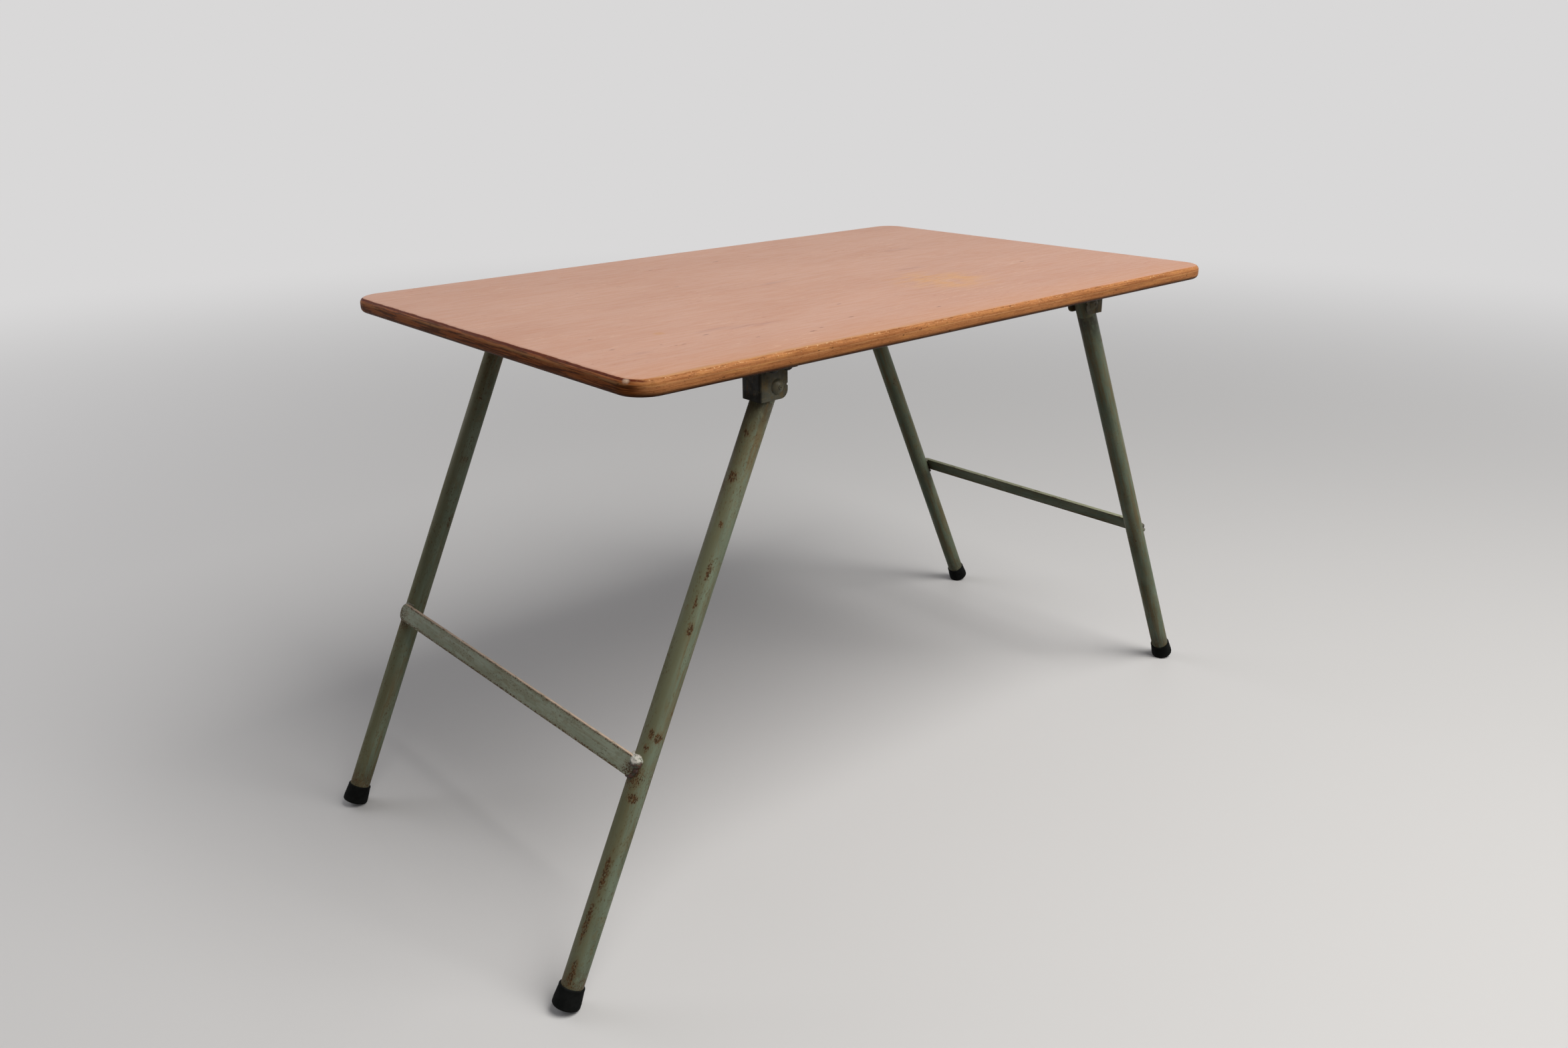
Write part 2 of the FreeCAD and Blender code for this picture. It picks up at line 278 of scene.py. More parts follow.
def plies(tree, position, depth, along_x):
    """The colour of the edge from its depth under the face, and the streaks for its bump."""
    wavy = both(tree, marks(tree, position, (45, 45, 8), 0.25, 0.75), 1.1 * mm)
    level = both(tree, both(tree, depth, wavy, "ADD"), ply, "DIVIDE")
    number = add(tree, "Math", {"operation": "FLOOR"}, {0: level}).outputs[0]
    within = add(tree, "Math", {"operation": "FRACT"}, {0: level}).outputs[0]
    cross = both(tree, both(tree, number, along_x, "ADD"), 2.0, "FLOORED_MODULO")
    chance = add(tree, "TexWhiteNoise", {"noise_dimensions": "1D"}, {"W": number}).outputs[0]
    streaks = marks(tree, position, (34, 34, 1.3), 0.36, 0.64, 5.0)
    broad = marks(tree, position, (110, 110, 3.0), 0.46, 0.6, 3.0, (0, 0, 6))
    pores = marks(tree, position, (1.4, 1.4, 2.0), 0.45, 0.65, 3.0)
    light = layer(tree, "#c98f5e", "#a56e44", streaks, 0.7)
    dark = layer(tree, "#b6794b", "#8c5733", pores, 0.8)
    shade = layer(tree, light, dark, cross, 0.55)
    shade = layer(tree, shade, "#8a4a22", both(tree, chance, 0.4), 1.0)
    shade = layer(tree, shade, "#74401f", broad, 0.35)
    flecks = marks(tree, position, (6, 6, 1.1), 0.56, 0.66, 3.0, (1, 6, 2))
    shade = layer(tree, shade, "#4f2a16", flecks, 0.5)
    sunny = marks(tree, position, (60, 60, 5), 0.5, 0.7, 2.0, (3, 3, 9))
    shade = layer(tree, shade, "#c88d50", sunny, 0.4)
    glue = both(tree, fade(tree, within, 0.3, 0.02), marks(tree, position, (14, 14, 2), 0.38, 0.6))
    shade = layer(tree, shade, "#4d2414", glue, 0.55)
    return shade, streaks


# %% The face veneer
def veneer(tree, position):
    """Beech veneer with its clouds, streaks and flecks along X."""
    clouds = marks(tree, position, (230, 130, 130), 0.3, 0.7)
    shade = layer(tree, "#c1937c", "#bb8b73", clouds)
    grain = marks(tree, position, (36, 3.2, 3.2), 0.35, 0.7, 5.0)
    shade = layer(tree, shade, "#b37d61", grain, 0.045)
    bands = marks(tree, position, (300, 22, 22), 0.48, 0.7, 2.0, (3.1, 0, 0), 0.6)
    shade = layer(tree, shade, "#b47c5c", bands, 0.11)
    flecks = marks(tree, position, (4.5, 1.0, 1.0), 0.56, 0.7, 3.0)
    shade = layer(tree, shade, "#9a6a52", flecks, 0.13)
    pale = marks(tree, position, (8, 1.4, 1.4), 0.6, 0.74, 2.0, (7.7, 2.0, 0))
    shade = layer(tree, shade, "#dcb094", pale, 0.16)
    return shade, grain, flecks


# %% [markdown]
# Use has left its own marks on the veneer: a yellow patch right of the middle where the varnish
# has worn through, short dark dents, faint smears and a few red-brown drag marks. The largest are
# placed where the real table has them and the rest fall by chance.

# %% Places of the marks on the top
top_z = top_high.z
worn_patch = Vector((0.112, -0.13, top_z))
small_stain = Vector((-0.344, -0.143, top_z))
# The corner spot is a painted highlight: a pale patch on the rim where light would catch it.
corner_highlight_spot = Vector((top_low.x + 3 * mm, top_low.y + 20 * mm, top_z - 1 * mm))

# Small dark dashes and faint smears, as (x, y, half length), in mm
dashes = [
    (-277, 117, 4), (-213, 120, 5), (-109, 196, 5), (-267, -9, 2.4), (-161, 69, 5), (-56, 92, 3),
    (-10, 53, 3), (-312, -182, 6), (-356, -202, 4), (-374, -188, 3), (-365, -201, 3),
    (-423, -173, 5), (-413, -118, 4), (-201, -239, 5), (-138, -220, 6), (-219, -246, 7),
    (-96, -157, 5), (64, 198, 4), (-1, 191, 7), (-280, -228, 4), (302, -109, 7), (-25, -248, 6)]
smears = [(-290, -168, 34), (-260, -175, 34), (-230, -182, 30), (-415, -205, 22),
          (-50, 4, 36), (150, -40, 40), (260, 90, 40)]
print(len(dashes), "dashes and", len(smears), "smears on the face")


# %% Spots drawn out along the grain
def spots(tree, position, places, narrow):
    """A mask of soft spots on the face, each drawn out along X and so many times narrower."""
    flat = add(tree, "VectorMath", {"operation": "MULTIPLY", 1: (1, narrow, 0)}, {0: position})
    return any_of(tree, [
        near(tree, flat.outputs[0], (x * mm, narrow * y * mm, 0), 0.3 * half * mm, half * mm)
        for x, y, half in places])


# %% The marks of use on the face
def used_face(tree, position, shade):
    """The veneer's colour with its wear, and a mask of its dents."""
    worn = both(tree, near(tree, position, worn_patch, 25 * mm, 88 * mm),
                marks(tree, position, (42, 20, 20), 0.38, 0.62, 4.0))
    shade = layer(tree, shade, "#c9935a", worn, 0.75)
    stain = near(tree, position, small_stain, 2 * mm, 9 * mm)
    shade = layer(tree, shade, "#bb854a", stain, 0.5)
    smeared = spots(tree, position, smears, 4)
    smeared = both(tree, smeared, marks(tree, position, (34, 3, 3), 0.36, 0.6, 4.0))
    shade = layer(tree, shade, "#a37667", smeared, 0.55)
    dents = both(tree, spots(tree, position, dashes, 3),
                 marks(tree, position, (5, 1.4, 1.4), 0.3, 0.5, 3.0))
    shade = layer(tree, shade, "#6f4331", dents, 0.8)
    drags = both(tree, marks(tree, position, (12, 2.4, 2.4), 0.6, 0.7, 4.0, (2.2, 1.0, 0)),
                 marks(tree, position, (170, 90, 90), 0.5, 0.62, 1.0))
    shade = layer(tree, shade, "#96583e", drags, 0.5)
    rubbed = both(tree, marks(tree, position, (16, 2.2, 2.2), 0.6, 0.7, 3.0, (0, 8.0, 0)),
                  marks(tree, position, (120, 60, 60), 0.52, 0.62, 1.0, (6, 2, 0)))
    shade = layer(tree, shade, "#e3bfa4", rubbed, 0.5)
    return shade, dents


# %% [markdown]
# The rounded edge is darker and redder on the two ends, partly their end grain and partly painted
# shade, and it goes near black towards the underside as painted shade. The ends also show a dark
# red line at their rim. The veneer stops where the rounding starts.
# Just inside the near edge the varnish is orange, and towards the left it has worn through in a
# thin band. Scuffs and knocks follow the rim, and the near left corner has a painted highlight,
# a pale patch where its rounded rim would catch the light.


# %% The colour of the rounded edge
def edge_colour(tree, position, depth, sideways):
    """The plies, darker on the ends, partly as painted shade, and with painted shade below.
    Also their streaks and the rim of the ends.
    """
    edge, streaks = plies(tree, position, depth, both(tree, sideways, 0.7, "GREATER_THAN"))
    end_face = fade(tree, sideways, 0.5, 0.9)
    # The ends are darker and redder: partly their end grain, partly painted shade.
    edge = layer(tree, edge, "#a04d17", end_face, 0.55)
    stripes = marks(tree, position, (60, 60, 2.2), 0.47, 0.55, 3.0, (2, 8, 3))
    edge = layer(tree, edge, "#2a0f07", both(tree, end_face, stripes), 0.7)
    pale_ply = both(tree, fade(tree, depth, 3.6 * mm, 4.4 * mm),
                    fade(tree, depth, 7.0 * mm, 5.6 * mm))
    pale_ply = both(tree, pale_ply, marks(tree, position, (70, 70, 5), 0.4, 0.6, 4.0, (1, 1, 1)))
    edge = layer(tree, edge, "#b98252", both(tree, end_face, pale_ply), 0.7)
    # Painted shade: towards the underside the lower rounding goes near black.
    edge = layer(tree, edge, "#34160f", fade(tree, depth, 12.5 * mm, 16 * mm), 0.7)
    edge = layer(tree, edge, "#180a09", fade(tree, depth, 15.6 * mm, 16.8 * mm), 0.85)
    end_rim = fade(tree, sideways, 0.25, 0.45)
    red_line = both(tree, end_rim, fade(tree, depth, 2.8 * mm, 1.9 * mm))
    return layer(tree, edge, "#52190f", red_line, 0.9), streaks, end_rim


# %% How far the veneer reaches
def veneer_cover(tree, position, depth):
    """1 on both faces, up to a slightly ragged border on the rounding."""
    out = magnitude(tree, both(tree, depth, thickness / 2, "SUBTRACT"))
    ragged = both(tree, marks(tree, position, (25, 25, 25), 0.3, 0.7), 0.4 * mm)
    return fade(tree, both(tree, out, ragged, "ADD"),
                thickness / 2 - 0.5 * mm, thickness / 2 - 0.2 * mm)


# %% Orange wear inside the near edge
def near_edge_wear(tree, position, face):
    """Orange varnish near the edge, and a thin band worn through towards the left."""
    axes = add(tree, "SeparateXYZ", {}, {0: position})
    inward = both(tree, axes.outputs[1], top_low.y, "SUBTRACT")
    uneven = marks(tree, position, (30, 6, 30), 0.3, 0.7, 4.0, (4, 4, 4))
    uneven = both(tree, inward, both(tree, uneven, 4 * mm), "ADD")
    leftward = fade(tree, axes.outputs[0], 260 * mm, -340 * mm)
    through = both(tree, fade(tree, uneven, 12.5 * mm, 7.5 * mm), leftward)
    face = layer(tree, face, "#c08458", fade(tree, uneven, 75 * mm, 8 * mm), 0.32)
    return layer(tree, face, "#b5814f", through, 0.85)


# %% Scuffs, knocks and the painted highlight on the corner
def knocked(tree, position, depth, shade, end_rim, veneer_here):
    """Pale scuffs on the rim, dark knocks in the edge and a painted highlight on the corner.
    Also the knocks' mask.
    """
    rim = both(tree, fade(tree, depth, 5.0 * mm, 1.5 * mm),
               fade(tree, depth, 0.02 * mm, 0.4 * mm))
    scuffs = both(tree, rim, marks(tree, position, (3.4, 3.4, 2.0), 0.59, 0.68, 4.0, (0, 5.0, 0)))
    scuffs = both(tree, scuffs, both(tree, both(tree, end_rim, -0.9), 1.0, "ADD"))
    shade = layer(tree, shade, "#e0b88a", scuffs, 0.7)
    knocks = marks(tree, position, (9, 9, 3.0), 0.7, 0.75, 2.0, (9.0, 3.0, 2.0))
    shade = layer(tree, shade, "#2d1a12", both(tree, knocks, veneer_here, "SUBTRACT"), 0.9)
    # Painted highlight: a pale patch on the rounded rim of the near left corner.
    corner_highlight = near(tree, position, corner_highlight_spot, 1.2 * mm, 5.5 * mm)
    corner_highlight = both(tree, corner_highlight, marks(tree, position, (5, 5, 5), 0.3, 0.6, 3.0))
    return layer(tree, shade, "#e3c6ac", corner_highlight, 0.75), knocks


# %% The whole plywood
def varnished_beech_plywood():
    """Satin varnish over beech plywood, its layers found by their height."""
    material, tree, shader, place = begin("varnished_beech_plywood", 0.45)
    position = place.outputs["Object"]
    depth = both(tree, both(tree, height_of(tree, position), -1.0), top_z, "ADD")
    turn = add(tree, "SeparateXYZ", {}, {0: place.outputs["Normal"]})
    edge, streaks, end_rim = edge_colour(tree, position, depth, magnitude(tree, turn.outputs[0]))
    face, grain, flecks = veneer(tree, position)
    face, dents = used_face(tree, position, face)
    face = near_edge_wear(tree, position, face)
    veneer_here = veneer_cover(tree, position, depth)
    shade = layer(tree, edge, face, veneer_here)
    shade, knocks = knocked(tree, position, depth, shade, end_rim, veneer_here)
    gloss(tree, shader, veneer_here, 0.03, 0.32, "Specular IOR Level")
    gloss(tree, shader, grain, 0.38, 0.52)
    relief = both(tree, both(tree, flecks, dents, "ADD"), both(tree, streaks, 0.5), "ADD")
    relief = both(tree, relief, both(tree, knocks, 2.0), "ADD")
    coat(tree, shader, shade, relief, 0.35, 0.12, sunk=True)
    return material


plywood = varnished_beech_plywood()
print(plywood.name, "has", len(plywood.node_tree.nodes), "nodes")

# %% [markdown]
# ## Air-dried enamel on steel
#
# The frames, brackets and rivets were brushed with a grey-green enamel, as a workshop paints its
# own furniture. The right frame is a darker green as painted shade, since it stands more under
# the top. The brackets are darker too, partly as painted shade, and near black on their outer
# side, which is painted shade. Enamel on steel ages in a known order: it chalks and yellows, dirt
# settles on it, it chips where things knock it, and rust then creeps out brown under the chip. The
# recipe follows that order. A leg leans, so two rotations first turn its places and its directions
# upright.


# %% The directions of a painted part
def upright(tree, place, lean, pivot, lengthways):
    """Places and directions as if the leg stood upright, and the places with Z lengthways."""
    offset = add(tree, "VectorMath", {"operation": "SUBTRACT", 1: pivot},
                 {0: place.outputs["Object"]})
    leg = add(tree, "VectorRotate", {"rotation_type": "Y_AXIS", "Angle": lean, "label": "leg"},
              {"Vector": offset.outputs[0]}).outputs[0]
    facing = add(tree, "VectorRotate", {
        "rotation_type": "Y_AXIS", "Angle": lean, "label": "facing"},
        {"Vector": place.outputs["Normal"]}).outputs[0]
    if lengthways == "Z":
        return leg, facing, leg
    run = add(tree, "VectorRotate", {"rotation_type": "X_AXIS", "Angle": math.pi / 2},
              {"Vector": leg}).outputs[0]
    return leg, facing, run


# %% Enamel as the brush left it
def brushed(tree, run, enamel, shaded, drawn):
    """Enamel with chalky clouds, brush lines and yellowed blotches."""
    chalk = marks(tree, run, (16, 16, 70 * drawn), 0.3, 0.72, 4.0)
    shade = layer(tree, enamel, shaded, chalk, 0.7)
    brush = marks(tree, run, (1.6, 1.6, 60 * drawn), 0.4, 0.72, 3.0, (4, 0, 0))
    shade = layer(tree, shade, shaded, brush, 0.4)
    mottle = marks(tree, run, (6, 6, 16 * drawn), 0.5, 0.64, 4.0, (7, 7, 0))
    return layer(tree, shade, "#776a48", mottle, 0.35), chalk, brush


# %% Stains, and a darker film on the outer side, partly dirt and partly painted shade
def grimed_and_shaded(tree, run, facing, shade, outer_dirt_and_shade, outward, grime_and_shade, drawn):
    """Brown stains along the part, and an even darker film on the side that faces outward,
    partly dirt and partly painted shade.
    """
    stain = both(tree, marks(tree, run, (4, 4, 80 * drawn), 0.41, 0.6, 4.0, (0, 3, 0)),
                 marks(tree, run, (26, 26, 150 * drawn), 0.36, 0.56, 1.0, (0, 0, 8)))
    shade = layer(tree, shade, "#6f5c3a", stain, 0.8 * grime_and_shade)
    # Partly painted shade: the side that faces outward, down by default, gets a darker film.
    outer = add(tree, "VectorMath", {"operation": "DOT_PRODUCT", 1: outward}, {0: facing})
    outer = fade(tree, outer.outputs["Value"], 0.25, 0.85)
    outer_film_and_shade = both(tree, outer, marks(tree, run, (9, 9, 60 * drawn), 0.22, 0.44, 3.0, (1, 5, 0)))
    return layer(tree, shade, outer_dirt_and_shade, outer_film_and_shade, grime_and_shade)


# %% Rust
def rusted(tree, run, shade, patches, rusting):
    """Brown specks all over, and in the patches rust under chipped enamel with a brown halo."""
    specks = both(tree, marks(tree, run, (1.7, 1.7, 3.8), 0.54, 0.66, 3.0, (9, 1, 4)),
                  marks(tree, run, (12, 12, 50), 0.4, 0.6, 2.0, (3, 3, 7)))
    shade = layer(tree, shade, "#55401f", specks, 0.65 * rusting)
    halo = both(tree, patches, marks(tree, run, (2.2, 2.2, 6), 0.4, 0.66, 4.0, (2, 2, 2)))
    shade = layer(tree, shade, "#6b4d2c", halo, min(1.0, 0.7 * rusting))
    cut = add(tree, "MapRange", {"To Min": 0.0, "To Max": 0.29}, {"Value": patches}).outputs[0]
    grit = add(tree, "Mapping", {"Scale": every(1.4, 1.4, 2.6)}, {"Vector": run})
    cells = add(tree, "TexVoronoi", {"Scale": 1.3}, {"Vector": grit.outputs[0]})
    spread = both(tree, both(tree, cells.outputs["Distance"], -0.14), 0.07, "ADD")
    grit = add(tree, "TexNoise", {"Scale": 1.0, "Detail": 4.0, "Roughness": 0.6},
               {"Vector": grit.outputs[0]}).outputs[0]
    worn = both(tree, both(tree, grit, spread, "ADD"), cut, "ADD")
    shade = layer(tree, shade, "#5f4224", fade(tree, worn, 0.68, 0.78), 0.7)
    chips = fade(tree, worn, 0.76 - 0.02 * rusting, 0.8)
    rust = layer(tree, "#342210", "#56391b", marks(tree, run, (1.8, 1.8, 2.6), 0.42, 0.6))
    return layer(tree, shade, rust, chips, 0.88), chips, halo


# %% Enamel that has aged
def aged_enamel(name, enamel, shaded, lean=0.0, pivot=(0, 0, 0), rusting=1.0, grime_and_shade=0.5,
                roughness=0.45, places=(), dirt_and_shade=(), lengthways="Z", outward=(0, 0, -1),
                outer_dirt_and_shade="#6b6a4f", drawn=1.0, specular=0.22):
    """Grey-green enamel with chalk, grime, chips and rust, and a darker outer film that is partly
    painted shade. Places are masks of rust, and the darkening masks lay dirt, in places with
    painted shade. Drawn is how far the marks are drawn out along the part."""
    material, tree, shader, place = begin(name, roughness, specular=specular)
    leg, facing, run = upright(tree, place, lean, pivot, lengthways)
    shade, chalk, brush = brushed(tree, run, enamel, shaded, drawn)
    shade = grimed_and_shaded(tree, run, facing, shade, outer_dirt_and_shade, outward, grime_and_shade, drawn)
    # The darkening masks lay dirt, and under the top and below the bracket painted shade as well.
    for darkening in dirt_and_shade:
        smear_and_shade = both(tree, darkening(tree, leg), marks(tree, run, (4, 4, 9), 0.25, 0.55, 4.0))
        shade = layer(tree, shade, "#33291c", smear_and_shade, 0.75)
    patches = marks(tree, run, (20, 20, 38), 0.61, 0.75, 2.0, (5, 5, 1))
    patches = both(tree, patches, min(1.0, rusting))
    patches = any_of(tree, [patches] + [wanted(tree, leg) for wanted in places])
    shade, chips, halo = rusted(tree, run, shade, patches, rusting)
    gloss(tree, shader, any_of(tree, [chips, halo, chalk]), roughness - 0.08, 0.78)
    relief = both(tree, both(tree, brush, -0.25), both(tree, chips, -1.0), "ADD")
    coat(tree, shader, shade, relief, 0.6, 0.2)
    return material


# %% [markdown]
# Rust gathers where water stands or paint is thin. On these frames that is round the welds, just
# above the rubber feet, and below the brackets. A band is measured down the leg from the turning
# line, and a weld is found from the bar. The two near legs also have patches of their own, most
# of them on the left one. They are listed as the real legs show them: how far down, how far
# round from the outer side towards the viewer, how large, and how drawn out.


# %% Rust in a band across the leg, round a weld, and in single patches
tube_radius = 12.5 * mm
below_bar = 8 * mm


def band(start, full, end, strength=1.0):
    """Rust between two distances down the leg, strongest at full, all in metres."""
    def mask(tree, leg):
        down = both(tree, height_of(tree, leg), -1.0)
        ends = both(tree, fade(tree, down, start, full), fade(tree, down, end, full))
        return both(tree, ends, strength)
    return mask


def round_weld(side, reach, strength=1.0):
    """Rust within reach of the bar's two welded ends."""
    def mask(tree, leg):
        mirrored = add(tree, "VectorMath", {"operation": "ABSOLUTE"}, {0: leg}).outputs[0]
        spot = (tube_radius + 0.5 * mm, leg_half_spacing[side], bar_drop[side] + below_bar)
        return both(tree, near(tree, mirrored, spot, 7 * mm, reach), strength)
    return mask


def patches_on_leg(side, row, listed_patches):
    """Rust in patches on one leg. Each is (mm down, degrees round, radius in mm, stretch)."""
    def patch(tree, leg, down, degrees, radius, stretch):
        turn = math.radians(degrees)
        squeeze = Vector((1, 1, 1 / stretch))
        spot = Vector((sides[side] * tube_radius * math.cos(turn),
                       rows[row] * (leg_half_spacing[side] + tube_radius * math.sin(turn)),
                       -down * mm)) * squeeze
        flat = add(tree, "VectorMath", {"operation": "MULTIPLY", 1: squeeze}, {0: leg})
        return near(tree, flat.outputs[0], spot, 0.35 * radius * mm, radius * mm)

    def mask(tree, leg):
        return any_of(tree, [patch(tree, leg, *listed) for listed in listed_patches])
    return mask


# %% The paint of each frame
# The right frame's darker green is painted shade: it stands more under the top.
leg_colours_and_shade = {"left": ("#7d8872", "#656c59"), "right": ("#747f6a", "#5a6352")}
leg_patches = {
    "left": [(101, 24, 8, 1.3), (150, 44, 4, 1.6), (199, 56, 4, 4), (236, 45, 3, 5),
             (262, 58, 5, 2.2), (376, 37, 6, 1.5), (379, 76, 8, 1.2), (392, 32, 5, 1.5),
             (423, 10, 10, 1.0), (446, 46, 10, 0.8), (640, 30, 6, 4), (585, 20, 5, 7),
             (530, 30, 5, 7)],
    "right": [(60, 60, 4, 2), (330, 20, 3, 3), (560, 30, 3, 5)]}
rust_amount = {"left": 1.0, "right": 0.5625}
frame_paint = {}
for side, way in sides.items():
    pivot, rusting = turning_line[side + "_frame"], rust_amount[side]
    foot_down = pivot.z / math.cos(leg_lean)
    frame_paint[side] = aged_enamel(
        side + "_frame_enamel", *leg_colours_and_shade[side], way * leg_lean, pivot,
        rusting=rusting, grime_and_shade=0.85, outward=(way, 0, 0),
        places=[patches_on_leg(side, "near", leg_patches[side]),
                round_weld(side, 26 * mm, 0.8 * rusting),
                band(foot_down - 60 * mm, foot_down - 33 * mm, foot_down, 0.6 * rusting),
                band(20 * mm, 60 * mm, 200 * mm, 0.36 * rusting)],
        # Darker below the bracket: painted shade with some dirt. Above the foot: dirt.
        dirt_and_shade=[band(62 * mm, 18 * mm, 17 * mm),
                band(foot_down - 70 * mm, foot_down - 36 * mm, foot_down + 99 * mm, 0.6)])
    print(frame_paint[side].name, "has", len(frame_paint[side].node_tree.nodes), "nodes")


# %% The paint of the brackets and rivets
def under_the_top(tree, place):
    """Darker towards the table top where a bracket meets it: painted shade,
    with some dirt.
    """
    return fade(tree, height_of(tree, place), top_low.z - 22 * mm, top_low.z - 3 * mm)


bracket_paint = {}
for side, way in sides.items():
    # The brackets' enamel is darker, partly as painted shade under the top. The near-black film on
    # their outer side, the web, is painted shade.
    bracket_paint[side] = aged_enamel(
        side + "_bracket_enamel", "#5c5b4e", "#413f35", rusting=1.2, grime_and_shade=0.95, outer_dirt_and_shade="#0f0f0c",
        drawn=0.2, specular=0.15, outward=(way, 0, 0), dirt_and_shade=[under_the_top])
rivet_paint = aged_enamel("rivet_enamel", "#5b5a4a", "#3a3a2e", rusting=1.4, grime_and_shade=0.6,
                          roughness=0.4, drawn=0.2)
print(rivet_paint.name, "has", len(rivet_paint.node_tree.nodes), "nodes")

# %% [markdown]
# ## The worn bar
#
# The flat bar's upper edge is where feet rest. A pale line lies along it: on the left bar partly
# primer where the enamel has gone and partly a painted highlight where the edge faces up, and on
# the right bar a fainter one, polished enamel with a painted highlight. Rust runs just under that
# edge and along the lower one. The upper edge is found by its height on the bar and by the way it
# faces.


# %% Rust along the two edges of the bar
def above_bar(tree, leg, side):
    """How far up the leg a place is from the middle of the bar."""
    return both(tree, height_of(tree, leg), bar_drop[side], "ADD")


def bar_edges(side):
    """Rust just under the upper edge of the bar and along its lower edge."""
    def mask(tree, leg):
        height = above_bar(tree, leg, side)
        low = both(tree, fade(tree, height, -6.5 * mm, -10.0 * mm), 0.85)
        high = both(tree, fade(tree, height, 6.5 * mm, 10.0 * mm), 0.85)
        return both(tree, low, high, "MAXIMUM")
    return mask


# %% Enamel rubbed off the upper edge, and a painted highlight where it faces up
def rub_bare_and_highlight(material, side, bared_and_lit):
    """Lay a pale colour over the bar's upper edge: bared primer and a painted highlight."""
    tree = material.node_tree
    shader = next(n for n in tree.nodes if n.type == "BSDF_PRINCIPLED")
    turned = {n.label: n.outputs[0] for n in tree.nodes if n.type == "VECTOR_ROTATE"}
    # Faces that turn up get the pale colour too: a painted highlight along with the wear.
    upper_edge_and_lit_top = both(tree, fade(tree, height_of(tree, turned["facing"]), 0.4, 0.7), fade(
        tree, above_bar(tree, turned["leg"], side), 9.6 * mm, 10.8 * mm), "MAXIMUM")
    rubbed = both(tree, upper_edge_and_lit_top, marks(tree, turned["leg"], (4, 18, 4), 0.3, 0.46, 4.0))
    painted = shader.inputs["Base Color"].links[0].from_socket
    tree.links.new(layer(tree, painted, bared_and_lit, rubbed, 0.95), shader.inputs["Base Color"])


# %% The paint of each bar
bar_colours = {"left": ("#a1a892", "#898f7a"), "right": ("#727c67", "#5c6453")}
# The pale colour of the upper edge is partly bared primer and partly painted highlight.
bared_and_lit_colour = {"left": "#d8bfa6", "right": "#a3a68b"}
bar_paint = {}
for side, way in sides.items():
    bar_paint[side] = aged_enamel(
        side + "_bar_enamel", *bar_colours[side], way * leg_lean, turning_line[side + "_frame"],
        grime_and_shade=0.35, lengthways="Y", places=[round_weld(side, 24 * mm, 0.8), bar_edges(side)])
    rub_bare_and_highlight(bar_paint[side], side, bared_and_lit_colour[side])
    print(bar_paint[side].name, "has", len(bar_paint[side].node_tree.nodes), "nodes")

# %% [markdown]
# ## Rubber feet and screws
#
# The feet are moulded black rubber, matt, and dusty round the rim that rubs the floor. The screws
# are black japanned steel: a thin dark lacquer that has rubbed back to grey and rusts in specks.


# %% Moulded rubber
def moulded_rubber():
    """Black rubber with a fine moulded grain and dust low down."""
    material, tree, shader, place = begin("moulded_black_rubber", 0.85, 1.52, specular=0.06)
    position = place.outputs["Object"]
    height = height_of(tree, position)
    shade = layer(tree, "#0f100f", "#181918", marks(tree, position, (9, 9, 9), 0.35, 0.7))
    dust = both(tree, fade(tree, height, 9 * mm, 1 * mm),
                marks(tree, position, (3, 3, 3), 0.42, 0.66, 4.0))
    shade = layer(tree, shade, "#3c3a36", dust, 0.45)
    lint = marks(tree, position, (1.4, 1.4, 1.4), 0.7, 0.76)
    shade = layer(tree, shade, "#57544d", lint, 0.4)
    grain = marks(tree, position, (0.9, 0.9, 0.9), 0.3, 0.7)
    coat(tree, shader, shade, grain, 0.4, 0.08)
    return material


# %% Japanned steel
def japanned_steel():
    """Black lacquer rubbed grey in clouds, with specks of rust."""
    material, tree, shader, place = begin("japanned_steel", 0.5, specular=0.15)
    position = place.outputs["Object"]
    shade = layer(tree, "#0d0c0a", "#2a2723", marks(tree, position, (2.2, 2.2, 2.2), 0.5, 0.7))
    shade = layer(tree, shade, "#3c2313", marks(tree, position, (1.6, 1.6, 1.6), 0.58, 0.68), 0.8)
    pits = marks(tree, position, (0.8, 0.8, 0.8), 0.4, 0.7)
    coat(tree, shader, shade, pits, 0.4, 0.08)
    return material


rubber = moulded_rubber()
screw_black = japanned_steel()
print("made", rubber.name, "and", screw_black.name)

# %% [markdown]
# ## Give every part of the model its finish
#
# A part keeps the mesh that was measured and only swaps the material in its slots. Its name says
# which finish it takes, so one table of name starts does the whole table.


# %% Swap the materials
def dress(part, material):
    """Put one material in every slot of a part of the model."""
    mesh = nodes[part].data
    if not mesh.materials:
        mesh.materials.append(material)
    for number in range(len(mesh.materials)):
        mesh.materials[number] = material


for part in nodes:
    side = part.rsplit("_", 1)[-1]
    finishes = {"tabletop": plywood, "hinge": bracket_paint.get(side), "pivot": rivet_paint,
                "bracket": screw_black, "rubber": rubber, "leg": frame_paint.get(side),
                "weld": frame_paint.get(side), "cross": bar_paint.get(side)}
    dress(part, finishes[part.split("_")[0]])
    nodes[part].data.shade_smooth()
print("dressed", len(nodes), "parts")

# %% [markdown]
# ## Weld beads
#
# Each bar end was welded to its leg by hand with a stick electrode. Such a bead is a row of
# frozen drops, wider where the hand paused, with spatter beside it. A swept tube would look like
# piping, so the bead is many overlapping drops along the bar's end, fused by a voxel remesh,
# smoothed a little and roughened by noise. The near left one is the heaviest, in thick lumps.

# %% The drops along one bead
half_bar = 11 * mm
overhang = 4 * mm
corner = 10 * mm
drops_at_each = 2
print("a bead turns round", round(2 * half_bar / mm), "mm of bar")


